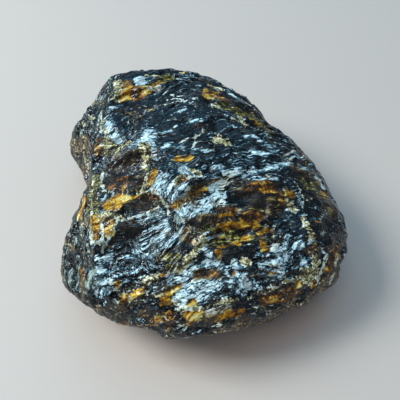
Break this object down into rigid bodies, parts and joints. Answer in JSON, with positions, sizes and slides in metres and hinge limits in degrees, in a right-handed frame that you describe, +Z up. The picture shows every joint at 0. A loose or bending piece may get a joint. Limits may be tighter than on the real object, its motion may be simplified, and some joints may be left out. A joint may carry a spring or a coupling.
{
  "type": "raw amber piece",
  "caption": "Rough lump of raw amber: a layered, glossy dark fracture face above a weathered flank, lying on a worn flat side.",
  "frame": {"origin": "on the resting plane, below the middle of the lump's bounding box", "axes": "+Z up from the worn flat that it lies on; -Y is the undercut front with the lower lip, -X the weathered flank, and +Y the long slanting back"},
  "size_m": [0.1208, 0.1252, 0.0552],
  "materials": {
    "amber": "glossy natural resin, dark with golden windows and a matte cream crust"
  },
  "bodies": {
    "root": {"raw_amber": "amber"}
  },
  "joints": []
}
